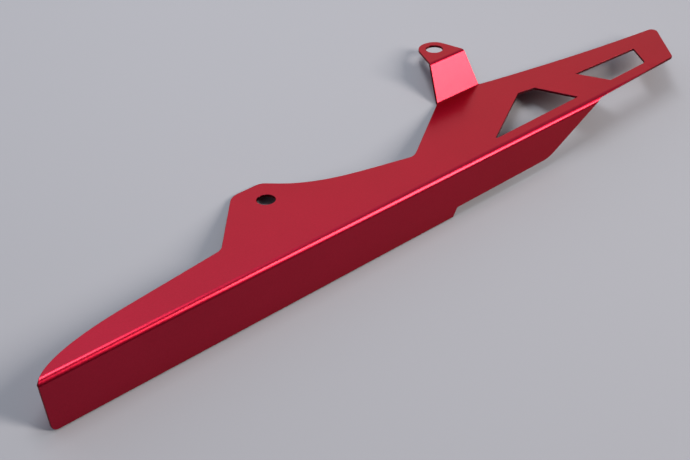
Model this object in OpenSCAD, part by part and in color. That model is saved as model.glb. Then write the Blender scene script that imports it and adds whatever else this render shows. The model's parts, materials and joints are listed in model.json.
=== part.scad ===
// Motorcycle chain guard: one folded aluminium sheet.
// A long plate with a bolt lobe, two windows and a raised bolt tab is folded over a right angle
// into a flange that stands beside the chain. It lies at rest on the flange's foot and the lobe.
// The blank is drawn in the plate's own axes: X along the long fold from the nose to the tail,
// Y across the plate from the flange's outer face, Z up from the plate's outer face.
// What lies at the front is placed from the nose tip or the front bolt hole, and what lies at
// the rear from the rear bolt hole, so the guard can be fitted to another bolt spacing.

/* [Sheet] */
// Thickness of the sheet
sheet_t = 1.5; // [1:0.1:2.5]
// Inner radius of the long fold between plate and flange
fold_r = 1.9; // [1:0.1:3]
// Inner radius of the two folds of the raised tab
tab_fold_r = 1; // [0.6:0.1:2]

/* [Bolt holes] */
// Front bolt hole, distance from the nose tip along the fold
front_hole_x = 161.4; // [150:0.1:175]
// Front bolt hole, distance from the flange's outer face
front_hole_y = 47.6; // [44:0.1:56]
// Spacing of the two bolt holes along the fold
hole_spacing = 154.3; // [145:0.1:170]
// Radius of the front bolt hole
front_hole_r = 5; // [3:0.1:6.5]
// Radius of the rear bolt hole
rear_hole_r = 5; // [3:0.1:6.5]

/* [Nose] */
// Length of the nose curve, from the tip to where the edge runs straight
nose_len = 58.4; // [50:0.1:66]
// Width of the plate where the nose curve ends
nose_w = 20; // [16:0.1:23]
// Angle at which the nose curve leaves the fold
nose_angle = 52.8; // [45:0.1:80]
// Bluntness of the nose tip, as the length of the curve's first handle
nose_blunt = 7.4; // [2:0.1:12]
// Reach of the curve's second handle back along the straight edge
nose_reach = 41.9; // [30:0.1:50]

/* [Front lobe] */
// Sheet beyond the front bolt hole's centre, up to the lobe's far edge
lobe_margin = 15; // [12:0.1:20]
// Distance in front of the front bolt hole at which the edge turns up into the lobe
shoulder_back = 44.2; // [38:0.1:48]
// Width of the plate at that turn
shoulder_w = 26.6; // [23:0.1:32]
// Radius of the edge at that turn
shoulder_r = 8; // [3:0.5:15]
// Lobe's far edge, reach from the hole's centre towards the nose
lobe_front = 11.5; // [9:0.1:14]
// Lobe's far edge, reach from the hole's centre towards the tail
lobe_rear = 7.8; // [6:0.1:12]
// Radius of the lobe's front corner
lobe_front_r = 10.5; // [6:0.5:13]
// Radius of the lobe's rear corner
lobe_rear_r = 7; // [4:0.5:10]
// Angle at which the lobe's rear edge falls away
lobe_fall = 45.7; // [35:0.1:55]

/* [Waist] */
// Narrowest place of the plate, distance in front of the rear bolt hole
waist_back = 68.9; // [60:0.1:76]
// Width of the plate at the waist
waist_w = 26.4; // [24:0.1:32]
// Angle at which the hollow curve runs into the waist
waist_angle = 15.6; // [10:0.1:22]
// Radius of the edge at the waist
waist_r = 8; // [5:0.5:16]
// Straight lead of the edge before the hollow curve starts
hollow_lead = 8.6; // [6:0.1:12]
// Straight lead of the edge after the hollow curve ends
waist_lead = 6; // [4:0.1:10]
// Pull of the hollow curve's handle at the lobe, as a share of the distance between its ends
hollow_pull = 0.33; // [0.2:0.01:0.5]
// Pull of the hollow curve's handle at the waist, as a share of the same distance
waist_pull = 0.395; // [0.2:0.005:0.5]

/* [Raised tab] */
// Radius of the tab's round end about the rear bolt hole
tab_end_r = 9.3; // [8.5:0.1:11]
// Width of the plate at the tab's lower fold
tab_root_y = 60.7; // [56:0.1:66]
// Height of the tab's seat above the plate
tab_rise = 21; // [12:0.5:28]
// Slope of the tab's riser against the plate
tab_slope = 66; // [50:0.5:80]
// Distance from the tab's upper fold to the rear bolt hole's centre
tab_setback = 12.3; // [10:0.1:18]
// Half width of the riser at the lower fold, towards the nose
tab_root_front = 18.3; // [16:0.1:21]
// Half width of the riser at the lower fold, towards the tail
tab_root_rear = 15.5; // [13.5:0.1:18]
// Half width of the riser at the upper fold, towards the nose
tab_top_front = 15.2; // [12:0.1:16]
// Half width of the riser at the upper fold, towards the tail
tab_top_rear = 12.3; // [11:0.1:13.5]

/* [Tail] */
// Upper tail corner, distance behind the rear bolt hole
tail_reach = 150.9; // [135:0.1:165]
// Upper tail corner, distance from the flange's outer face
tail_tip_y = 36.9; // [34:0.1:40]
// Radius of the upper tail corner
tail_tip_r = 3.5; // [1:0.5:5]
// Rake of the tail's end, as the distance along the fold from its upper to its lower corner
tail_rake = 25.3; // [15:0.1:32]
// Lower tail corner, distance from the flange's outer face
tail_heel_y = 3.7; // [2:0.1:6]
// Radius of the lower tail corner
tail_heel_r = 3.5; // [1:0.5:6]
// Depth of the hollow in the tail's upper edge, as the middle of its curve below the chord
tail_hollow = 1.8; // [0:0.1:4]
// Straight lead of that edge before the upper tail corner
tail_lead = 7.5; // [6:0.1:12]
// Direction of that lead against the fold
tail_lead_angle = 7.1; // [4:0.1:12]
// Distance from the flange's outer face at which the tail's lower edge starts
tail_low_y = 0.8; // [0:0.1:1.5]

/* [Flange] */
// End of the long fold and the flange, distance behind the rear bolt hole
fold_reach = 54.9; // [48:0.1:60]
// Depth of the flange at the nose, from the plate's outer face
flange_nose_h = 30; // [24:0.1:34]
// Depth of the flange at the step
flange_step_h = 28.9; // [26:0.1:36]
// Distance of the foot's step in front of the rear bolt hole
step_back = 65.1; // [50:0.1:80]
// Length of the foot that the step's slope takes
step_run = 3.3; // [1:0.1:8]
// Depth of the flange behind the step
flange_rear_h = 24.1; // [18:0.1:25]
// Depth of the flange where its foot turns up to the end
flange_end_h = 23.3; // [18:0.1:25]
// Distance of that turn behind the rear bolt hole
chamfer_reach = 11.3; // [0:0.1:20]
// Radius of the foot at that turn
chamfer_r = 20; // [2:1:30]
// Lean of the flange's nose end from the fold to the foot
nose_lean = 2.4; // [0:0.1:8]
// Radius of the foot's nose corner
foot_nose_r = 3.5; // [1:0.5:8]
// Radius of the foot's two corners at the step
step_r = 1; // [0.5:0.1:2]

/* [Windows] */
// Lower edge of the windows, distance from the flange's outer face at its front end
window_y = 8.8; // [7:0.1:12]
// Angle of the windows' common lower edge against the fold
window_angle = 0.65; // [0:0.05:1.5]
// Front window's lower front corner, distance in front of the rear bolt hole
front_window_back = 24.3; // [18:0.1:28]
// Front window's lower rear corner, distance behind the rear bolt hole
front_window_reach = 45.5; // [42:0.1:48]
// Front window's peak, distance behind the rear bolt hole
peak_reach = 24.6; // [18:0.1:28]
// Front window's peak, distance from the flange's outer face
peak_y = 37; // [31:0.1:39]
// End of the front window's short upper edge, distance behind the rear bolt hole
front_top_reach = 35.9; // [31:0.1:38]
// End of that edge, distance from the flange's outer face
front_top_y = 34.9; // [29:0.1:36]
// Rear window's lower front corner, distance behind the rear bolt hole
rear_window_reach = 75; // [72:0.1:80]
// Rear window's upper front corner, distance behind the rear bolt hole
rear_top_reach = 66.4; // [63:0.1:70]
// Rear window's upper front corner, distance from the flange's outer face
rear_top_y = 30; // [26:0.1:33]
// Rear window's lower rear corner, distance in front of the tail's lower corner
rear_window_margin = 18; // [14:0.1:22]
// Rear window's upper rear corner, distance in front of the tail's lower corner
rear_end_margin = 8.2; // [6:0.1:12]
// Rear window's upper rear corner, distance from the flange's outer face
rear_end_y = 27.1; // [22:0.1:29]
// Radius of the windows' corners
window_r = 0.5; // [0.4:0.1:2.5]
// Radius of the rear window's lower rear corner
rear_window_heel_r = 4; // [1:0.1:6]

/* [Hidden] */
$fn = 64;
CURVE_STEPS = 14;
ARC_STEP = 12;
// Small length by which joined or cut volumes reach past each other
LAP = 0.5;
fold_out_r = fold_r + sheet_t;
rear_hole_x = front_hole_x + hole_spacing;
fold_len = rear_hole_x + fold_reach;
lobe_y = front_hole_y + lobe_margin;
// Place of the tab's upper fold, and how far the lower fold reaches into the plate
tab_top_y = tab_root_y + tab_rise / tan(tab_slope);
tab_root_reach = tab_fold_r * tan(tab_slope / 2);
rear_hole = [rear_hole_x, tab_top_y + tab_setback];
front_hole = [front_hole_x, front_hole_y];
// Slope of the foot against the long fold
step_x = rear_hole_x - step_back;
foot_rise = (flange_step_h - flange_nose_h) / step_x;
foot_angle = atan(foot_rise);
// The lobe touches the ground at the lower end of its straight far edge
shoulder = [front_hole_x - shoulder_back, shoulder_w];
lobe_turn = atan2(lobe_y - shoulder_w, shoulder_back - lobe_front);
lobe_front_touch = front_hole_x - lobe_front + lobe_front_r * tan(lobe_turn / 2);
lobe_rear_touch = front_hole_x + lobe_rear - lobe_rear_r * tan(lobe_fall / 2);
lobe_touch_x = foot_angle > 0 ? lobe_front_touch : lobe_rear_touch;
// Tilt about the fold that sets the foot's inner edge and the lobe's lower edge on the ground
lobe_over_foot = lobe_touch_x * sin(foot_angle) + (flange_nose_h - sheet_t) * cos(foot_angle);
rest_tilt = atan(lobe_over_foot / (lobe_y - sheet_t));

// Point at a distance and an angle from another point
function off(p, len, angle) = p + len * [cos(angle), sin(angle)];

// Points of a cubic curve between its ends a and d with handles at b and c
function curve(a, b, c, d) = [
    for (i = [0:CURVE_STEPS])
        let (t = i / CURVE_STEPS, s = 1 - t)
            s * s * s * a + 3 * s * s * t * b + 3 * s * t * t * c + t * t * t * d
];

// Points of the arc of radius r that rounds corner b between its neighbours a and c
function round_corner(a, b, c, r) =
    let (
        to_a = (a - b) / norm(a - b),
        to_c = (c - b) / norm(c - b),
        half = acos(to_a * to_c) / 2,
        mid = (to_a + to_c) / norm(to_a + to_c),
        centre = b + mid * r / sin(half),
        start = b + to_a * r / tan(half),
        side = cross(b - a, c - b) > 0 ? 1 : -1,
        sweep = 180 - 2 * half,
        steps = ceil(sweep / ARC_STEP),
        from = atan2(start[1] - centre[1], start[0] - centre[0])
    )
    [for (i = [0:steps]) off(centre, r, from + side * sweep * i / steps)];

// Closed outline through corners given as [x, y, radius], with radius 0 left sharp
function rounded(corners) =
    let (n = len(corners), p = [for (c = corners) [c[0], c[1]]])
    [
        for (i = [0:n - 1])
            each corners[i][2] > 0
                ? round_corner(p[(i + n - 1) % n], p[i], p[(i + 1) % n], corners[i][2])
                : [p[i]]
    ];

function sharp(points) = [for (p = points) [p[0], p[1], 0]];

// Where the tangent from point p touches a circle, on its left side (1) or right side (-1)
function touch(p, centre, r, side) =
    let (
        d = norm(centre - p),
        aim = atan2(centre[1] - p[1], centre[0] - p[0])
    )
    off(p, sqrt(d * d - r * r), aim + side * asin(r / d));

// Corners and curves of the plate's edge, in order from the nose tip round to the flange's end
nose_end = [nose_len, nose_w];
edge_angle = atan2(shoulder[1] - nose_w, shoulder[0] - nose_len);
nose_edge = curve([0, 0], off([0, 0], nose_blunt, nose_angle),
    off(nose_end, -nose_reach, edge_angle), nose_end);
lobe_front_corner = [front_hole_x - lobe_front, lobe_y];
lobe_rear_corner = [front_hole_x + lobe_rear, lobe_y];
waist = [rear_hole_x - waist_back, waist_w];
hollow_start = off(lobe_rear_corner, hollow_lead, -lobe_fall);
hollow_end = off(waist, -waist_lead, -waist_angle);
hollow_span = norm(hollow_end - hollow_start);
hollow_edge = curve(hollow_start, off(hollow_start, hollow_pull * hollow_span, -lobe_fall),
    off(hollow_end, -waist_pull * hollow_span, -waist_angle), hollow_end);
tab_front = [
    [rear_hole_x - tab_root_front, tab_root_y],
    [rear_hole_x - tab_top_front, tab_top_y]
];
tab_rear = [
    [rear_hole_x + tab_top_rear, tab_top_y],
    [rear_hole_x + tab_root_rear, tab_root_y]
];
tab_touch_front = touch(tab_front[1], rear_hole, tab_end_r, 1);
tab_touch_rear = touch(tab_rear[0], rear_hole, tab_end_r, -1);
arc_from = atan2(tab_touch_front[1] - rear_hole[1], tab_touch_front[0] - rear_hole[0]);
arc_to = atan2(tab_touch_rear[1] - rear_hole[1], tab_touch_rear[0] - rear_hole[0]);
arc_steps = ceil((arc_from - arc_to) / ARC_STEP);
tab_end = [
    for (i = [0:arc_steps]) off(rear_hole, tab_end_r, arc_from + (arc_to - arc_from) * i / arc_steps)
];
tail_tip = [rear_hole_x + tail_reach, tail_tip_y];
tail_heel = [tail_tip[0] - tail_rake, tail_heel_y];
tail_edge_start = tab_rear[1];
tail_edge_end = off(tail_tip, -tail_lead, -tail_lead_angle);
tail_chord_mid = (tail_edge_start + tail_edge_end) / 2;
tail_pull = tail_chord_mid - [0, 2 * tail_hollow];
tail_edge = curve(tail_edge_start, (tail_edge_start + 2 * tail_pull) / 3,
    (tail_edge_end + 2 * tail_pull) / 3, tail_edge_end);

blank = rounded(concat(
    sharp(nose_edge),
    [[shoulder[0], shoulder[1], shoulder_r]],
    [[lobe_front_corner[0], lobe_y, lobe_front_r], [lobe_rear_corner[0], lobe_y, lobe_rear_r]],
    sharp(hollow_edge),
    [[waist[0], waist[1], waist_r]],
    sharp(tab_front), sharp(tab_end), sharp(tab_rear), sharp(tail_edge),
    [[tail_tip[0], tail_tip[1], tail_tip_r], [tail_heel[0], tail_heel[1], tail_heel_r]],
    [[fold_len, tail_low_y, 0], [fold_len, 0, 0]]
));

// Corners of the flange seen from its outer side, X along the fold and Y up
flange_side = rounded([
    [0, LAP, 0],
    [0, 0, 0],
    [nose_lean, -flange_nose_h - nose_lean * foot_rise, foot_nose_r],
    [step_x, -flange_step_h, step_r],
    [step_x + step_run, -flange_rear_h, step_r],
    [rear_hole_x + chamfer_reach, -flange_end_h, chamfer_r],
    [fold_len, -sheet_t, 0],
    [fold_len, LAP, 0]
]);

// Point of the windows' common lower edge at a distance from the nose tip
function window_low(x) =
    [x, window_y + (x - rear_hole_x + front_window_back) * tan(window_angle)];

// Corner of an outline at a point, with its radius
function corner(p, r) = [p[0], p[1], r];

front_window = rounded([
    corner(window_low(rear_hole_x - front_window_back), window_r),
    [rear_hole_x + peak_reach, peak_y, window_r],
    [rear_hole_x + front_top_reach, front_top_y, window_r],
    corner(window_low(rear_hole_x + front_window_reach), window_r)
]);

rear_window = rounded([
    corner(window_low(rear_hole_x + rear_window_reach), window_r),
    [rear_hole_x + rear_top_reach, rear_top_y, window_r],
    [tail_heel[0] - rear_end_margin, rear_end_y, window_r],
    corner(window_low(tail_heel[0] - rear_window_margin), rear_window_heel_r)
]);

// Stands a drawing of the part's cross-section up and runs it along the fold for a length
module along_fold(length) {
    rotate([90, 0, 90]) linear_extrude(length) children();
}

// Quarter or smaller part of a ring, as a fold looks in cross-section
module fold_section(inner_r, from, to) {
    outer_r = inner_r + sheet_t;
    reach = 2 * outer_r;
    intersection() {
        difference() {
            circle(outer_r);
            circle(inner_r);
        }
        polygon([[0, 0], reach * [cos(from), sin(from)], reach * [cos(to), sin(to)]]);
    }
}

// Cross-section of the long fold with the flange and a strip of plate
module fold_and_flange_section() {
    flange_reach = max(flange_nose_h, flange_step_h) + LAP;
    translate([fold_out_r, -fold_out_r]) fold_section(fold_r, 90, 180);
    translate([0, -flange_reach]) square([sheet_t, flange_reach - fold_out_r]);
    translate([fold_out_r, -sheet_t]) square([sheet_t, sheet_t]);
}

// Cross-section of the raised tab: a strip of plate, lower fold, riser, upper fold and seat
module tab_section() {
    start_y = tab_root_y - tab_root_reach - sheet_t;
    end_y = rear_hole[1] + tab_end_r + LAP;
    under = sheet_t * tan(tab_slope / 2);
    polygon(rounded([
        [start_y, 0, 0],
        [tab_root_y, 0, tab_fold_r],
        [tab_top_y, tab_rise, tab_fold_r + sheet_t],
        [end_y, tab_rise, 0],
        [end_y, tab_rise - sheet_t, 0],
        [tab_top_y + under, tab_rise - sheet_t, tab_fold_r],
        [tab_root_y + under, -sheet_t, tab_fold_r + sheet_t],
        [start_y, -sheet_t, 0]
    ]));
}

// Everything inside the blank's outline, from far below the plate to far above it
module blank_prism() {
    low = max(flange_nose_h, flange_step_h) + LAP;
    translate([0, 0, -low]) linear_extrude(low + tab_rise + LAP) polygon(blank);
}

// Flat part of the plate, without the strip that the long fold takes and without the tab
module flat_plate() {
    tab_w = tab_root_front + tab_root_rear;
    difference() {
        translate([0, 0, -sheet_t]) linear_extrude(sheet_t) polygon(blank);
        translate([-LAP, -LAP, -2 * sheet_t])
            cube([fold_len + LAP, fold_out_r + LAP, 3 * sheet_t]);
        translate([rear_hole_x - tab_w, tab_root_y - tab_root_reach, -2 * sheet_t])
            cube([2 * tab_w, tab_w + tab_top_y, 3 * sheet_t]);
    }
}

module flange() {
    intersection() {
        along_fold(fold_len) fold_and_flange_section();
        rotate([90, 0, 0]) translate([0, 0, -tab_root_y]) linear_extrude(2 * tab_root_y)
            polygon(flange_side);
        blank_prism();
    }
}

module raised_tab() {
    tab_w = tab_root_front + tab_root_rear;
    intersection() {
        translate([rear_hole_x - tab_w, 0, 0]) along_fold(2 * tab_w) tab_section();
        blank_prism();
    }
}

// Hole drilled square through the sheet at a point of the plate or the seat
module bolt_hole(centre, top_z, r) {
    translate([centre[0], centre[1], top_z - 2 * sheet_t]) cylinder(h = 3 * sheet_t, r = r);
}

module window(outline) {
    translate([0, 0, -2 * sheet_t]) linear_extrude(3 * sheet_t) polygon(outline);
}

// The guard lies at rest, with its origin at the front bolt hole's centre in the outer face
module chain_guard() {
    color([0.66, 0.12, 0.18])
    rotate([-rest_tilt, 0, 0]) rotate([0, -foot_angle, 0])
    translate([-front_hole_x, -front_hole_y, 0])
    difference() {
        union() {
            flat_plate();
            flange();
            raised_tab();
        }
        bolt_hole(front_hole, 0, front_hole_r);
        bolt_hole(rear_hole, tab_rise, rear_hole_r);
        window(front_window);
        window(rear_window);
    }
}

chain_guard();
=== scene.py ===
# %% [markdown]
# Motorcycle chain guard
#
# The guard is one sheet of aluminium, taken as 1.5 mm thick. Such a part is cut flat, its edges
# are taken off, it is folded on a press brake, blasted to a satin surface and anodised red.
# This script makes it in the same order: a flat blank with its windows and holes, a folding map
# that bends the blank into its shape, one anodised finish, and a small studio around it.

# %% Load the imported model
import json
import math

import bpy
import numpy as np
from mathutils import Matrix, Vector
from mathutils.geometry import delaunay_2d_cdt


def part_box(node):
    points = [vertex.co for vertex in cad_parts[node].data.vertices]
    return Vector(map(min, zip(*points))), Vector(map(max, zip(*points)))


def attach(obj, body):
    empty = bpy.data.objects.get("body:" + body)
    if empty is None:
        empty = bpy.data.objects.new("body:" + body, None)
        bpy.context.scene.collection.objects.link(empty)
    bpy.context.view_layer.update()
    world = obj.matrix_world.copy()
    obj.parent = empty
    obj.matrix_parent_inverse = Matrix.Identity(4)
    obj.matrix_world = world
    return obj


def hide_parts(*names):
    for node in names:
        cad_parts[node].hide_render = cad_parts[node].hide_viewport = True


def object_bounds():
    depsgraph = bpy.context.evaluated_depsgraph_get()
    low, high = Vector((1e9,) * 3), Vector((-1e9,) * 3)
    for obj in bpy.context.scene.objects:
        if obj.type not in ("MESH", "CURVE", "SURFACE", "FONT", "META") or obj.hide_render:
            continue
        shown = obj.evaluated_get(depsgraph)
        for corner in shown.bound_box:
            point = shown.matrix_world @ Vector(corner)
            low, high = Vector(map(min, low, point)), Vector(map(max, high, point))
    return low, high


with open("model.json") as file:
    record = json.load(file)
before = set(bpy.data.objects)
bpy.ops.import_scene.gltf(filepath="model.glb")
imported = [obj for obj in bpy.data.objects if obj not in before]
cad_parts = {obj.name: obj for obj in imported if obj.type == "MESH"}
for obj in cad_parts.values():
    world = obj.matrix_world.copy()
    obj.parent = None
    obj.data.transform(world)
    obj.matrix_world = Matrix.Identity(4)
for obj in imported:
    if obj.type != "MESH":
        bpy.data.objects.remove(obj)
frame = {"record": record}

cad_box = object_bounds()
print("CAD box in metres:", [list(corner) for corner in cad_box])

# %% [markdown]
# How the guard lies
#
# The guard rests on the foot of its flange and on its bolt lobe, so the plate is tilted. The
# record states the direction of the front bolt hole, which is square to the plate. Two angles
# follow from it: the pitch along the fold and the tilt about it. Everything below is drawn in
# the plate's own axes in millimetres, as a maker would, and is laid down with these two angles.

# %% Read the pose from the front bolt hole
MM = 0.001
front_mount = next(m for m in frame["record"]["mounts"] if m["name"] == "front_bolt_hole")
plate_normal = Vector(front_mount["axis"]).normalized()
pitch = math.asin(-plate_normal.x)
tilt = math.atan2(plate_normal.y, plate_normal.z)
lay_down = np.array(Matrix.Rotation(-tilt, 3, "X") @ Matrix.Rotation(-pitch, 3, "Y"))
print(f"tilt {math.degrees(tilt):.2f} degrees, pitch {math.degrees(pitch):.2f} degrees")

# %% [markdown]
# The folds
#
# A folded sheet has the same section all along its length, so it needs only one profile: a
# chain of straight runs and arcs. Each run is described by its length and by how much it turns.
# The profile of the guard climbs the flange, turns over the long fold, crosses the plate, and
# at the tab turns up, climbs the riser and turns level again. Distance along this chain is the
# flat height v of a point of the blank, and u is its distance from the nose along the fold.

# %% Sizes of the sheet and its folds
SHEET_T = 1.5
FOLD_R = 3.4
TAB_ROOT_Y = 60.7
TAB_RISE = 21.0
TAB_SLOPE = math.radians(66)
TAB_FOLD_R = 1.0
TAB_CREST_R = TAB_FOLD_R + SHEET_T
FLANGE_REACH = 40.0
SEAT_REACH = 40.0

root_cut = TAB_FOLD_R * math.tan(TAB_SLOPE / 2)
crest_cut = TAB_CREST_R * math.tan(TAB_SLOPE / 2)
riser = TAB_RISE / math.sin(TAB_SLOPE)

# Each run: its length and the angle that it turns, to the left where the angle is positive
plate_runs = [
    (FLANGE_REACH, 0.0),
    (FOLD_R * math.pi / 2, -math.pi / 2),
    (TAB_ROOT_Y - root_cut - FOLD_R, 0.0),
]
tab_runs = [
    (TAB_FOLD_R * TAB_SLOPE, TAB_SLOPE),
    (riser - root_cut - crest_cut, 0.0),
    (TAB_CREST_R * TAB_SLOPE, -TAB_SLOPE),
    (SEAT_REACH, 0.0),
]
v_flange = FOLD_R - FOLD_R * math.pi / 2
v_root = TAB_ROOT_Y - root_cut
v_riser = v_root + TAB_FOLD_R * TAB_SLOPE
v_crest = v_riser + riser - root_cut - crest_cut
v_seat = v_crest + TAB_CREST_R * TAB_SLOPE
print(f"flange ends at v {v_flange:.2f}, tab folds at v {v_root:.2f} and {v_crest:.2f} mm")


# %% The profile as one function
STRAIGHT_BEND = 1e-9
PROFILE_POINTS = 20001


def walk(v, runs):
    """Place and heading at flat height v. Heading turns evenly along a run, and the place is
    the integral of the heading's cosine and sine: the arc of a circle whose curvature is the
    run's turn divided by its length. A straight run is an arc with a curvature too small to
    show."""
    lengths = np.array([length for length, turn in runs])
    turns = np.array([turn for length, turn in runs])
    starts = v_flange - FLANGE_REACH + np.concatenate([[0.0], np.cumsum(lengths)[:-1]])
    headings = math.pi / 2 + np.concatenate([[0.0], np.cumsum(turns)[:-1]])
    bend = np.where(turns == 0.0, STRAIGHT_BEND, turns / lengths)
    chord_y = (np.sin(headings + bend * lengths) - np.sin(headings)) / bend
    chord_z = (np.cos(headings) - np.cos(headings + bend * lengths)) / bend
    y0 = np.concatenate([[0.0], np.cumsum(chord_y)[:-1]])
    z0 = -FOLD_R - FLANGE_REACH + np.concatenate([[0.0], np.cumsum(chord_z)[:-1]])
    run = np.clip(np.searchsorted(starts, v, side="right") - 1, 0, len(runs) - 1)
    heading = headings[run] + bend[run] * (v - starts[run])
    y = y0[run] + (np.sin(heading) - np.sin(headings[run])) / bend[run]
    z = z0[run] + (np.cos(headings[run]) - np.cos(heading)) / bend[run]
    return y, z, heading


def flat_v(y):
    """Flat height of a point of the plate or the tab that is y from the flange's outer face:
    the profile read backwards, since y only grows from the long fold onwards."""
    v = np.linspace(v_flange, v_seat + SEAT_REACH, PROFILE_POINTS)
    return np.interp(y, walk(v, plate_runs + tab_runs)[0], v)


for label, v in (("plate", 30.0), ("riser", v_riser + 5.0), ("seat", v_seat + 5.0)):
    y, z, heading = walk(np.array([v]), plate_runs + tab_runs)
    print(f"{label}: y {y[0]:.2f}, z {z[0]:.2f}, heading {math.degrees(heading[0]):.1f} degrees")

# %% [markdown]
# The blank
#
# The blank is the outline that the cutter follows. It is drawn in flat coordinates u and v from
# the same few sizes as the solid: corners with a radius, three long curves and a round tab end.
# Straight sides stay straight in the flat, which is how such a sheet is cut.

# %% Corners and curves of an outline
CURVE_STEPS = 40
ARC_STEP = math.radians(6)


def off(point, length, degrees):
    """Point at a distance and a direction from another point."""
    a = math.radians(degrees)
    return np.array(point) + length * np.array([math.cos(a), math.sin(a)])


def curve(a, b, c, d):
    """Cubic curve between its ends a and d with handles b and c, as the sum of the four points
    weighted by the Bernstein polynomials of t."""
    t = np.linspace(0, 1, CURVE_STEPS)[:, None]
    s = 1 - t
    return s**3 * a + 3 * s * s * t * b + 3 * s * t * t * c + t**3 * d


def arc(centre, radius, start, end):
    """Points of a circle about a centre, from one angle to another in equal steps."""
    steps = 1 + math.ceil(abs(end - start) / ARC_STEP)
    angle = np.linspace(start, end, steps)[:, None]
    return np.array(centre) + radius * np.hstack([np.cos(angle), np.sin(angle)])


def round_corner(a, b, c, radius):
    """Arc that touches both sides of corner b. Its centre lies on the corner's bisector, at the
    radius divided by the sine of half the corner's angle."""
    to_a = (a - b) / np.linalg.norm(a - b)
    to_c = (c - b) / np.linalg.norm(c - b)
    half = math.acos(np.dot(to_a, to_c)) / 2
    middle = (to_a + to_c) / np.linalg.norm(to_a + to_c)
    centre = b + middle * radius / math.sin(half)
    first = b + to_a * radius / math.tan(half) - centre
    side = math.copysign(1, (b - a)[0] * (c - b)[1] - (b - a)[1] * (c - b)[0])
    start = math.atan2(first[1], first[0])
    return arc(centre, radius, start, start + side * (math.pi - 2 * half))


def rounded(corners):
    """Closed outline through corners (u, v, radius), where radius 0 is left as it is."""
    points = [np.array(corner[:2], dtype=float) for corner in corners]
    pieces = []
    for i, corner in enumerate(corners):
        if corner[2] > 0:
            after = points[(i + 1) % len(points)]
            pieces.append(round_corner(points[i - 1], points[i], after, corner[2]))
        else:
            pieces.append(points[i][None, :])
    return np.vstack(pieces)


def sharp(points):
    """Points of a curve as corners without a radius."""
    return [(p[0], p[1], 0.0) for p in points]


# %% [markdown]
# The nose of the blank
#
# The nose is one long curve that leaves the fold steeply and then runs almost straight. Where
# it crosses the fold the cut also follows the flange's leaning end, and the sheet keeps
# whichever of the two edges lies further in.

# %% Nose curve, with its stretch across the fold
FRONT_HOLE = (161.4, 47.6)
NOSE_END = np.array([58.4, 20.0])
NOSE_ANGLE = 52.8
NOSE_BLUNT = 7.4
NOSE_REACH = 41.9
NOSE_LEAN = 2.4
NOSE_FOLD_STEPS = 16
NOSE_GAP = 0.3
FLANGE_NOSE_H = 30.0
SHOULDER = (FRONT_HOLE[0] - 44.2, 26.6)
SHOULDER_R = 8.0

edge_angle = math.degrees(math.atan2(SHOULDER[1] - NOSE_END[1], SHOULDER[0] - NOSE_END[0]))
nose_curve = curve(np.zeros(2), off((0, 0), NOSE_BLUNT, NOSE_ANGLE),
                   off(NOSE_END, -NOSE_REACH, edge_angle), NOSE_END)
fold_v = np.linspace(v_flange, FOLD_R, NOSE_FOLD_STEPS + 1)
fold_y, fold_z = walk(fold_v, plate_runs)[:2]
nose_on_fold = np.maximum(np.interp(fold_y, nose_curve[:, 1], nose_curve[:, 0]),
                          -fold_z * NOSE_LEAN / FLANGE_NOSE_H)
nose_edge = np.vstack([np.column_stack([nose_on_fold, fold_v]),
                       nose_curve[nose_curve[:, 1] > FOLD_R + NOSE_GAP]])
print(f"nose edge: {len(nose_edge)} points")

# %% [markdown]
# The lobe, the tab and the tail
#
# Behind the shoulder the plate widens into a lobe round the front bolt hole and falls in a long
# hollow to a narrow waist. Then it climbs the tab with the rear bolt hole and runs out into the
# tail. This outline could be traced point by point, but a few corners, each with a radius and a
# distance from the hole that it belongs to, can be changed one at a time. Only the two hollow
# edges are curves, each led by the directions of its ends.

# %% Lobe, waist and the hollow between them
REAR_HOLE_X = FRONT_HOLE[0] + 154.3
HOLE_R = 5.0
LOBE_Y = FRONT_HOLE[1] + 15.0
LOBE_FRONT = (FRONT_HOLE[0] - 11.5, LOBE_Y, 10.5)
LOBE_REAR = (FRONT_HOLE[0] + 7.8, LOBE_Y, 7.0)
LOBE_FALL = 45.7
HOLLOW_LEAD = 8.6
LOBE_PULL = 0.33
WAIST = (REAR_HOLE_X - 68.9, 26.4, 8.0)
WAIST_ANGLE = 15.6
WAIST_LEAD = 6.0
WAIST_PULL = 0.395

hollow_start = off(LOBE_REAR[:2], HOLLOW_LEAD, -LOBE_FALL)
hollow_end = off(WAIST[:2], -WAIST_LEAD, -WAIST_ANGLE)
hollow_span = np.linalg.norm(hollow_end - hollow_start)
hollow = curve(hollow_start, off(hollow_start, LOBE_PULL * hollow_span, -LOBE_FALL),
               off(hollow_end, -WAIST_PULL * hollow_span, -WAIST_ANGLE), hollow_end)
print(f"lobe reaches {LOBE_Y:.1f} mm from the flange, the waist is {WAIST[1]:.1f} mm wide")

# %% The raised tab
TAB_END_R = 9.3
TAB_SETBACK = 12.3
TAB_CORNER_R = 1.0
TAB_TOP_Y = TAB_ROOT_Y + TAB_RISE / math.tan(TAB_SLOPE)
TAB_ROOT = (REAR_HOLE_X - 18.3, REAR_HOLE_X + 15.5)
TAB_TOP = (REAR_HOLE_X - 15.2, REAR_HOLE_X + 12.3)
rear_hole = np.array([REAR_HOLE_X, flat_v(TAB_TOP_Y + TAB_SETBACK)])


def touch(point, centre, radius, side):
    """Direction, seen from the centre, in which the tangent from a point meets the circle. The
    angle at the centre has the radius over the distance as its cosine."""
    d = np.array(point) - centre
    return math.atan2(d[1], d[0]) - side * math.acos(radius / np.linalg.norm(d))


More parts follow.
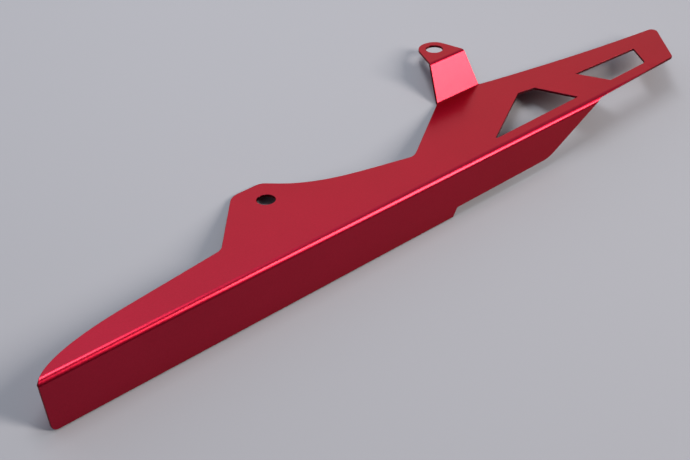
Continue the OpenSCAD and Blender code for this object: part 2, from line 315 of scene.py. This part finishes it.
tab_low, tab_high = flat_v(TAB_ROOT_Y), flat_v(TAB_TOP_Y)
tab_front = [(TAB_ROOT[0], tab_low, TAB_CORNER_R), (TAB_TOP[0], tab_high, TAB_CORNER_R)]
tab_rear = [(TAB_TOP[1], tab_high, TAB_CORNER_R), (TAB_ROOT[1], tab_low, TAB_CORNER_R)]
arc_from = touch(tab_front[1][:2], rear_hole, TAB_END_R, 1)
arc_to = touch(tab_rear[0][:2], rear_hole, TAB_END_R, -1)
tab_end = arc(rear_hole, TAB_END_R, arc_from % (2 * math.pi), arc_to)
print(f"rear bolt hole at u {rear_hole[0]:.1f}, v {rear_hole[1]:.1f} mm in the flat")

# %% Tail and flange
TAIL_TIP = (REAR_HOLE_X + 150.9, 36.9)
TAIL_R = 3.5
TAIL_HEEL = (TAIL_TIP[0] - 25.3, 3.7)
TAIL_HOLLOW = 1.8
TAIL_LEAD = 7.5
TAIL_LEAD_ANGLE = 7.1
TAIL_LOW = (REAR_HOLE_X + 55.7, float(flat_v(0.8)))
FLANGE_STEP = (REAR_HOLE_X - 65.1, 28.9)
FLANGE_REAR = (FLANGE_STEP[0] + 3.3, 24.1)
CHAMFER = (REAR_HOLE_X + 11.3, 23.3)
CHAMFER_R = 20.0
STEP_R = 1.0
FOOT_NOSE_R = 3.5


def down(x, depth, radius):
    """Corner of the flange, which continues the flat sheet below the fold."""
    return (x, v_flange + FOLD_R - depth, radius)


tail_start = np.array([TAB_ROOT[1], TAB_ROOT_Y])
tail_end = off(TAIL_TIP, TAIL_LEAD, 180 - TAIL_LEAD_ANGLE)
tail_pull = (tail_start + tail_end) / 2 - np.array([0, 2 * TAIL_HOLLOW])
tail_edge = curve(tail_start, (tail_start + 2 * tail_pull) / 3,
                  (tail_end + 2 * tail_pull) / 3, tail_end)
foot_rise = (FLANGE_STEP[1] - FLANGE_NOSE_H) / FLANGE_STEP[0]
flange_corners = [
    (*TAIL_LOW, STEP_R),
    down(*CHAMFER, CHAMFER_R),
    down(*FLANGE_REAR, STEP_R),
    down(*FLANGE_STEP, STEP_R),
    down(NOSE_LEAN, FLANGE_NOSE_H + NOSE_LEAN * foot_rise, FOOT_NOSE_R),
]
print(f"flange: {len(flange_corners)} corners, foot rises {foot_rise * 1000:.1f} mm in a metre")

# %% The whole outline
# The corner at the tab's root stands for the tail curve's first points. The curve is almost
# straight there
TAIL_SKIP = 3
outline = rounded(
    sharp(nose_edge)
    + [(*SHOULDER, SHOULDER_R), LOBE_FRONT, LOBE_REAR]
    + sharp(hollow)
    + [WAIST] + tab_front + sharp(tab_end) + tab_rear
    + sharp(tail_edge[TAIL_SKIP:])
    + [(*TAIL_TIP, TAIL_R), (*TAIL_HEEL, TAIL_R)]
    + flange_corners
)[::-1]
print(f"outline: {len(outline)} points")

# %% [markdown]
# The windows and the holes
#
# Two windows are cut through the plate beside the tab and in the tail. They could be taken out
# of the finished sheet with a boolean, but as outlines of the blank they get the same rounded
# edges as the rest. Their lower edges lie on one line, which opens slowly from the fold.

# %% Windows and bolt holes
WINDOW_START = REAR_HOLE_X - 24.3
WINDOW_Y = 8.8
WINDOW_SLOPE = math.tan(math.radians(0.65))
WINDOW_R = 0.5
FRONT_PEAK = (REAR_HOLE_X + 24.6, 37.0)
FRONT_TOP_END = (REAR_HOLE_X + 35.9, 34.9)
FRONT_WINDOW_END = REAR_HOLE_X + 45.5
REAR_WINDOW_START = REAR_HOLE_X + 75.0
REAR_TOP_START = (REAR_HOLE_X + 66.4, 30.0)
REAR_TOP_END = (TAIL_HEEL[0] - 8.2, 27.1)
REAR_WINDOW_END = TAIL_HEEL[0] - 18.0
REAR_HEEL_R = 4.0


def window_low(x, radius):
    """Corner on the windows' common lower edge, a straight line that opens slowly from the
    fold: its height is the start's height plus the slope times the distance from the start."""
    return (x, WINDOW_Y + WINDOW_SLOPE * (x - WINDOW_START), radius)


front_window = rounded([
    window_low(WINDOW_START, WINDOW_R),
    (*FRONT_PEAK, WINDOW_R),
    (*FRONT_TOP_END, WINDOW_R),
    window_low(FRONT_WINDOW_END, WINDOW_R),
])
rear_window = rounded([
    window_low(REAR_WINDOW_START, WINDOW_R),
    (*REAR_TOP_START, WINDOW_R),
    (*REAR_TOP_END, WINDOW_R),
    window_low(REAR_WINDOW_END, REAR_HEEL_R),
])
full_turn = -2 * math.pi
front_bore = arc(FRONT_HOLE, HOLE_R, 0, full_turn)[:-1]
rear_bore = arc(rear_hole, HOLE_R, 0, full_turn)[:-1]
cut_loops = [outline, front_window, rear_window, front_bore, rear_bore]
print("points in each cut:", [len(loop) for loop in cut_loops])

# %% [markdown]
# From outline to triangles
#
# The flat face is filled by a constrained Delaunay triangulation, which keeps every cut edge
# and makes the best-shaped triangles between them. The folds need points of their own, in rows
# along the bend, because a triangle that spans a bend would cut it short. The cut edges get a
# point at every row that they cross, for the same reason.

# %% Rows of points across the folds
ROW_TURN = math.radians(6)
COLUMN_STEP = 3.0
EDGE_STEP = 4.0
NEAR_END = 0.02
# Points inside the folds keep this far from the face's edge
CLEAR = 0.35


def rows_between(start, end, turn):
    """Flat heights across a fold, one for every few degrees of its turn."""
    return np.linspace(start, end, 1 + math.ceil(abs(turn) / ROW_TURN))


long_rows = rows_between(v_flange, FOLD_R, math.pi / 2)
tab_rows = np.concatenate([rows_between(v_root, v_riser, TAB_SLOPE),
                           rows_between(v_crest, v_seat, TAB_SLOPE)])


def split_at_rows(loop, rows):
    """Adds a point wherever a closed outline crosses a row. On the side from a to b the
    crossing lies at the share (row - a) / (b - a) of the side, and one that is nearly at its
    end is left out. Long sides are split too."""
    a, b = loop, np.roll(loop, -1, axis=0)
    rise = b[:, 1] - a[:, 1]
    rise = np.where(np.abs(rise) < 1e-9, 1e-9, rise)
    share = (rows[:, None] - a[:, 1]) / rise
    row, side = np.nonzero((share > NEAR_END) & (share < 1 - NEAR_END))
    count = np.ceil(np.linalg.norm(b - a, axis=1) / EDGE_STEP).astype(int)
    even = np.concatenate([i + np.arange(n) / n for i, n in enumerate(count)])
    place = np.unique(np.concatenate([even, side + share[row, side]]).round(4))
    k = np.floor(place).astype(int)
    part = (place - k)[:, None]
    return a[k] * (1 - part) + b[k] * part


cut_loops = [split_at_rows(loop, np.concatenate([long_rows, tab_rows])) for loop in cut_loops]
print("points in each cut, with its crossings:", [len(loop) for loop in cut_loops])

# %% [markdown]
# The deburred edge
#
# A cutter leaves a sharp edge and the maker takes it off. Here every edge is rounded by about a
# fifth of a millimetre, so that it catches a thin line of light. Each cut outline is therefore
# repeated as rings: from the face, round the edge, down the wall, round the other edge to the
# inner face. A ring's angle runs from 0 on the outer face to 180 degrees on the inner one, and
# gives its place and its normal.

# %% Rings round a cut edge
EDGE_R = 0.22
ring_angle = np.radians([0, 30, 60, 90, 90, 120, 150, 180])
RINGS = len(ring_angle)
ring_inset = EDGE_R * (1 - np.sin(ring_angle))
ring_depth = np.where(np.arange(RINGS) < RINGS // 2, EDGE_R * (1 - np.cos(ring_angle)),
                      SHEET_T - EDGE_R * (1 + np.cos(ring_angle)))


def inward(loop):
    """For every point the direction into the metal, which lies on the outline's left, scaled
    so that a step of that length moves both neighbouring sides by the same distance."""
    side = np.roll(loop, -1, axis=0) - loop
    side /= np.linalg.norm(side, axis=1)[:, None]
    left = np.column_stack([-side[:, 1], side[:, 0]])
    both = left + np.roll(left, 1, axis=0)
    both /= np.linalg.norm(both, axis=1)[:, None]
    return both / np.sum(both * left, axis=1)[:, None]


def inside(points, loop):
    """Whether each point lies inside a closed outline: a ray to the right crosses its sides an
    odd number of times."""
    a, b = loop, np.roll(loop, -1, axis=0)
    u, v = points[:, 0:1], points[:, 1:2]
    spans = (a[:, 1] > v) != (b[:, 1] > v)
    rise = np.where(b[:, 1] == a[:, 1], 1e-12, b[:, 1] - a[:, 1])
    crossing = a[:, 0] + (v - a[:, 1]) * (b[:, 0] - a[:, 0]) / rise
    return np.sum(spans & (u < crossing), axis=1) % 2 == 1


def gap(points, loop):
    """Distance from each point to the nearest side of an outline."""
    a, b = loop, np.roll(loop, -1, axis=0)
    along = b - a
    share = ((points[:, None, :] - a) * along).sum(2) / (along**2).sum(1)
    nearest = a + np.clip(share, 0, 1)[:, :, None] * along
    return np.linalg.norm(points[:, None, :] - nearest, axis=2).min(axis=1)


face_loops = [loop + EDGE_R * inward(loop) for loop in cut_loops]

# %% Points inside the folds
columns = np.arange(COLUMN_STEP, TAIL_HEEL[0], COLUMN_STEP)
tab_columns = np.arange(TAB_ROOT[0], TAB_ROOT[1], COLUMN_STEP)
inner_points = np.vstack([
    np.stack(np.meshgrid(columns, long_rows), -1).reshape(-1, 2),
    np.stack(np.meshgrid(tab_columns, tab_rows), -1).reshape(-1, 2),
])
keep = inside(inner_points, face_loops[0]) & (gap(inner_points, face_loops[0]) > CLEAR)
inner_points = inner_points[keep]
print(f"{len(inner_points)} points inside the folds")


# %% Fill the face
def fill(loops, extra):
    """Triangles between the outlines. The outlines' sides are constraints, and triangles whose
    middle lies outside the first outline or inside another are dropped."""
    points = np.vstack(loops + [extra])
    sides, first = [], 0
    for loop in loops:
        index = first + np.arange(len(loop))
        sides.append(np.column_stack([index, np.roll(index, -1)]))
        first += len(loop)
    made = delaunay_2d_cdt([Vector(p) for p in points.tolist()],
                           np.vstack(sides).tolist(), [], 0, 1e-5)
    source = np.array([ids[0] for ids in made[3]])
    triangles = source[np.array(made[2])]
    middle = points[triangles].mean(axis=1)
    kept = inside(middle, loops[0])
    for loop in loops[1:]:
        kept &= ~inside(middle, loop)
    return points, triangles[kept]


face_points, face_triangles = fill(face_loops, inner_points)
print(f"flat face: {len(face_points)} points, {len(face_triangles)} triangles")


# %% [markdown]
# Folding the blank
#
# Folding is a map from the flat (u, v, depth) to space: the profile gives the place and heading
# at v, depth goes into the sheet along the normal, and u runs along the fold. The tab's folds
# only reach the tab, so the lobe, which is as wide, stays flat. Last, the guard is laid down
# with the pose from the record. The same map gives the exact normals.

# %% The folding map
TAB_ZONE_U = 280.0


def fold(flat, depth, out, angle):
    """Point and normal of the folded sheet. The point is the profile at v less the depth along
    the normal. The normal turns from the face's normal to the flat direction out by the ring's
    angle: cosine times the face's normal plus sine times out."""
    u, v = flat[:, 0], flat[:, 1]
    on_tab = u > TAB_ZONE_U
    flat_walk = np.array(walk(v, plate_runs))
    tab_walk = np.array(walk(v, plate_runs + tab_runs))
    y, z, heading = np.where(on_tab, tab_walk, flat_walk)
    along_v = np.column_stack([np.zeros(len(u)), np.cos(heading), np.sin(heading)])
    face_normal = np.column_stack([np.zeros(len(u)), -np.sin(heading), np.cos(heading)])
    place = np.column_stack([u, y, z]) - depth[:, None] * face_normal
    along_u = np.array([1.0, 0.0, 0.0])
    out_in_space = out[:, 0:1] * along_u + out[:, 1:2] * along_v
    normal = np.cos(angle)[:, None] * face_normal + np.sin(angle)[:, None] * out_in_space
    place = (place - np.array([*FRONT_HOLE, 0.0])) @ lay_down.T * MM
    return place, normal @ lay_down.T


# %% Build the folded sheet
def sheet_mesh():
    """Two faces and the rings between them, as one closed mesh. Ring j of a loop starts at a
    known index, so the strips are index arithmetic and no point is doubled. The attribute
    cut_wall is the sine of a point's ring angle: 0 on both faces and 1 on the cut wall. The
    finish uses it as the mask of the painted shade on the walls."""
    flats, depths, outs, angles, quads = [], [], [], [], []
    outer_ids, inner_ids, first = [], [], 0
    for loop in cut_loops:
        step = inward(loop)
        outward = -step / np.linalg.norm(step, axis=1)[:, None]
        n = len(loop)
        for angle, inset, depth in zip(ring_angle, ring_inset, ring_depth):
            flats.append(loop + inset * step)
            depths.append(np.full(n, depth))
            outs.append(outward)
            angles.append(np.full(n, angle))
        ring = first + np.arange(RINGS * n).reshape(RINGS, n)
        after = np.roll(ring, -1, axis=1)
        quads.append(np.stack([ring[:-1], ring[1:], after[1:], after[:-1]], -1).reshape(-1, 4))
        outer_ids.append(ring[0])
        inner_ids.append(ring[-1])
        first += RINGS * n
    n = len(inner_points)
    for side, ids in ((0, outer_ids), (1, inner_ids)):
        flats.append(inner_points)
        depths.append(np.full(n, side * SHEET_T))
        outs.append(np.zeros((n, 2)))
        angles.append(np.full(n, side * math.pi))
        ids.append(first + np.arange(n))
        first += n
    outer_face = np.concatenate(outer_ids)[face_triangles]
    inner_face = np.concatenate(inner_ids)[face_triangles[:, ::-1]]
    places, normals = fold(np.vstack(flats), np.concatenate(depths), np.vstack(outs),
                           np.concatenate(angles))
    faces = outer_face.tolist() + inner_face.tolist() + np.vstack(quads).tolist()
    mesh = bpy.data.meshes.new("folded_sheet")
    mesh.from_pydata(places, [], faces)
    mesh.polygons.foreach_set("use_smooth", np.ones(len(faces), dtype=bool))
    mesh.normals_split_custom_set_from_vertices(normals)
    wall = mesh.attributes.new("cut_wall", "FLOAT", "POINT")
    wall.data.foreach_set("value", np.sin(np.concatenate(angles)).clip(0, 1))
    return mesh


guard = bpy.data.objects.new("folded_chain_guard", sheet_mesh())
bpy.context.scene.collection.objects.link(guard)
print(f"folded sheet: {len(guard.data.vertices)} points, {len(guard.data.polygons)} faces")

# %% Compare with the solid it stands for
low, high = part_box("chain_guard")
corners = np.array([vertex.co for vertex in guard.data.vertices])
print("lowest corner off by, mm:", ((corners.min(0) - np.array(low)) / MM).round(3))
print("highest corner off by, mm:", ((corners.max(0) - np.array(high)) / MM).round(3))

# %% [markdown]
# The anodised finish
#
# Anodising grows a clear, hard oxide film on the aluminium and the dye sits in its pores. The
# light goes through the dyed film to the metal and back, so the metal's reflections are red,
# and the film's own surface adds a weak, colourless gloss. A metallic base with a red colour
# and a thin rough coat do the same: the coat is what turns the brightest highlights pink. Seen
# at a low angle a bare metal turns white, but here the light still has to cross the dye, so
# the tint keeps those reflections red too. Blasting before the anodising leaves a fine grain,
# which breaks every reflection up: that is the satin look. Its pits are a tenth of a millimetre
# or so, too fine to show here, so the grain is drawn as coarse as it needs to show. The cut
# walls look much darker than the faces, so they are painted a darker red: painted shade, not a
# deeper dye.


# %% Helpers for colours and nodes
def linear(hex_colour):
    """Linear colour of an sRGB hex value: each channel c becomes ((c + 0.055) / 1.055) ** 2.4,
    or c / 12.92 below 0.04045."""
    srgb = np.array([int(hex_colour[i:i + 2], 16) for i in (1, 3, 5)]) / 255
    channels = np.where(srgb > 0.04045, ((srgb + 0.055) / 1.055) ** 2.4, srgb / 12.92)
    return (*channels.tolist(), 1.0)


def add(tree, kind, settings=None, links=None):
    """Adds a node. Settings are its properties or the values of its inputs, and links name the
    output that feeds an input."""
    node = tree.nodes.new(kind)
    for name, value in (settings or {}).items():
        if hasattr(node, name):
            setattr(node, name, value)
        else:
            node.inputs[name].default_value = value
    for name, output in (links or {}).items():
        tree.links.new(output, node.inputs[name])
    return node


def new_material(name):
    """Empty node material and its tree."""
    material = bpy.data.materials.new(name)
    material.use_nodes = True
    material.node_tree.nodes.clear()
    return material, material.node_tree


# %% Satin red anodised aluminium
DYE_RED = "#BA1537"
DYE_DEEP = "#920924"
# Painted shade: the cut walls get this darker red in place of the shade that they show
WALL_SHADE = "#5E0716"
FILM_TINT = "#FF5A6E"
GRAIN_MM = 0.8
RELIEF_MM = 0.06
CLOUD_MM = 60.0
GRAIN_SHARE = 0.7
SATIN = (0.31, 0.39)


def anodised_aluminium():
    """Blasted and red anodised sheet. To the eye: a deep red metal whose highlights are wide
    and pink, with a fine sparkle-free grain that shows from close by and a thin painted-shade
    line along every cut edge. The dye varies with a slow cloud and, more so, with the grain."""
    material, tree = new_material("satin_red_anodised_aluminium")
    place = add(tree, "ShaderNodeTexCoord").outputs["Object"]
    grain = add(tree, "ShaderNodeTexNoise",
                {"Scale": 1 / (GRAIN_MM * MM), "Detail": 2.0, "Roughness": 0.6}, {"Vector": place})
    cloud = add(tree, "ShaderNodeTexNoise",
                {"Scale": 1 / (CLOUD_MM * MM), "Detail": 3.0}, {"Vector": place})
    uptake = add(tree, "ShaderNodeMix", {"Factor": GRAIN_SHARE},
                 {"A": cloud.outputs["Fac"], "B": grain.outputs["Fac"]})
    dye = add(tree, "ShaderNodeMix",
              {"data_type": "RGBA"}, {"Factor": uptake.outputs["Result"]})
    dye.inputs["A"].default_value = linear(DYE_DEEP)
    dye.inputs["B"].default_value = linear(DYE_RED)
    # Painted shade: where cut_wall is 1 the colour turns to the darker wall red
    wall = add(tree, "ShaderNodeAttribute", {"attribute_name": "cut_wall"})
    colour = add(tree, "ShaderNodeMix",
                 {"data_type": "RGBA"}, {"Factor": wall.outputs["Fac"]})
    tree.links.new(dye.outputs["Result"], colour.inputs["A"])
    colour.inputs["B"].default_value = linear(WALL_SHADE)
    satin = add(tree, "ShaderNodeMapRange",
                {"From Min": 0.3, "From Max": 0.7, "To Min": SATIN[0], "To Max": SATIN[1]},
                {"Value": grain.outputs["Fac"]})
    relief = add(tree, "ShaderNodeBump",
                 {"Strength": 0.3, "Distance": RELIEF_MM * MM},
                 {"Height": grain.outputs["Fac"]})
    shader = add(tree, "ShaderNodeBsdfPrincipled",
                 {"Metallic": 1.0, "Specular Tint": linear(FILM_TINT), "Coat Weight": 0.3,
                  "Coat Roughness": 0.2},
                 {"Base Color": colour.outputs["Result"], "Roughness": satin.outputs["Result"],
                  "Normal": relief.outputs["Normal"]})
    add(tree, "ShaderNodeOutputMaterial", {}, {"Surface": shader.outputs["BSDF"]})
    return material


guard.data.materials.append(anodised_aluminium())
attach(guard, "root")
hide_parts("chain_guard")
print("finish:", guard.data.materials[0].name)

# %% [markdown]
# The studio
#
# Metal shows what stands around it more than it shows its own colour, so the studio decides how
# the guard looks. The plate mirrors the air low behind the guard, so the air is bright there
# and grows dark towards the front. A tall softbox far out at the camera's right is mirrored in
# the tab's riser and as the lower bright line on the long fold, and a small one above the nose
# adds the upper line there. The flange mirrors only the floor before it, so it is the darkest
# face. The strengths were set by comparing renders with the photograph and aren't measured.

# %% Floor
# A wide round board, so that its far edge is level from every side
FLOOR_GREY = "#A2A4AB"
FLOOR_R = 12.0
FLOOR_CORNERS = 96
floor_z = cad_box[0][2]
turn = 2 * math.pi * np.arange(FLOOR_CORNERS) / FLOOR_CORNERS
rim = np.column_stack([FLOOR_R * np.cos(turn), FLOOR_R * np.sin(turn),
                       np.full(FLOOR_CORNERS, floor_z)])
floor_mesh = bpy.data.meshes.new("studio_floor")
floor_mesh.from_pydata(rim, [], [list(range(FLOOR_CORNERS))])
floor = bpy.data.objects.new("studio_floor", floor_mesh)
bpy.context.scene.collection.objects.link(floor)
floor_material, floor_tree = new_material("matt_pale_grey_board")
board = add(floor_tree, "ShaderNodeBsdfPrincipled",
            {"Base Color": linear(FLOOR_GREY), "Roughness": 0.9, "Specular IOR Level": 0.2})
add(floor_tree, "ShaderNodeOutputMaterial", {}, {"Surface": board.outputs["BSDF"]})
floor_mesh.materials.append(floor_material)
print(f"floor at z {floor_z / MM:.2f} mm")


# %% Lights
RIGHT_WATTS = 53
NOSE_WATTS = 2.4
AIR_FRONT_Y = -0.2
AIR_BACK_Y = 1.0
AIR_FRONT = 0.04
AIR_BACK = 1.5
AIR_BLUE = "#E8EEFA"
LAMP_WARM = "#FFF4EA"


def soft_light(name, towards, distance, size, power, colour="#FFFFFF"):
    """Softbox of a width and a height, at a distance from the guard's middle in a direction,
    turned to face it."""
    lamp = bpy.data.lights.new(name, "AREA")
    lamp.shape = "RECTANGLE"
    lamp.size, lamp.size_y = size
    lamp.energy = power
    lamp.color = linear(colour)[:3]
    holder = bpy.data.objects.new(name, lamp)
    holder.visible_camera = False
    direction = Vector(towards).normalized()
    middle = (Vector(cad_box[0]) + Vector(cad_box[1])) / 2
    holder.matrix_world = (Matrix.Translation(middle + distance * direction)
                           @ direction.to_track_quat("Z", "Y").to_matrix().to_4x4())
    bpy.context.scene.collection.objects.link(holder)
    return holder


soft_light("right_softbox", towards=(0.57, -0.49, 0.66), distance=2.4, size=(0.64, 1.5),
           power=RIGHT_WATTS, colour=LAMP_WARM)
soft_light("nose_softbox", towards=(-0.03, 0.38, 0.92), distance=0.75, size=(0.2, 0.32),
           power=NOSE_WATTS)
print(f"softboxes of {RIGHT_WATTS} and {NOSE_WATTS} watts")


# %% Air of the studio
def studio_air():
    """World that grows brighter from the front to the back: its strength rises evenly with the
    Y part of the direction, between two levels."""
    world = bpy.data.worlds.new("studio_air")
    world.use_nodes = True
    tree = world.node_tree
    towards = add(tree, "ShaderNodeTexCoord").outputs["Generated"]
    depth = add(tree, "ShaderNodeSeparateXYZ", {}, {"Vector": towards}).outputs["Y"]
    level = add(tree, "ShaderNodeMapRange",
                {"From Min": AIR_FRONT_Y, "From Max": AIR_BACK_Y,
                 "To Min": AIR_FRONT, "To Max": AIR_BACK},
                {"Value": depth})
    background = tree.nodes["Background"]
    background.inputs["Color"].default_value = linear(AIR_BLUE)
    tree.links.new(level.outputs["Result"], background.inputs["Strength"])
    return world


bpy.context.scene.world = studio_air()
print(f"air strength {AIR_FRONT} at the front, {AIR_BACK} at the back")

# %% [markdown]
# The camera
#
# The photograph was taken from above the nose, looking along the guard. Its camera was worked
# out from the ground's perspective, the outline and the shapes of the bolt holes: a place, three
# axes and a focal length of 1300 pixels for a picture 690 pixels wide.

# %% Camera
PICTURE_W = 690
FOCAL_PX = 1300
SENSOR_MM = 36.0
camera_place = Vector((-328.5, -274.8, 521.5)) * MM
camera_right = Vector((0.7573, -0.6097, 0.2342))
camera_down = Vector((-0.3889, -0.7090, -0.5883))
camera_forward = camera_right.cross(camera_down)

camera_data = bpy.data.cameras.new("studio_camera")
camera_data.sensor_width = SENSOR_MM
camera_data.lens = SENSOR_MM * FOCAL_PX / PICTURE_W
camera = bpy.data.objects.new("studio_camera", camera_data)
axes = Matrix((camera_right, -camera_down, -camera_forward)).transposed().to_4x4()
camera.matrix_world = Matrix.Translation(camera_place) @ axes
bpy.context.scene.collection.objects.link(camera)
bpy.context.scene.camera = camera
bpy.context.scene.view_settings.view_transform = "Standard"
print(f"lens {camera_data.lens:.1f} mm on a {SENSOR_MM:.0f} mm sensor")
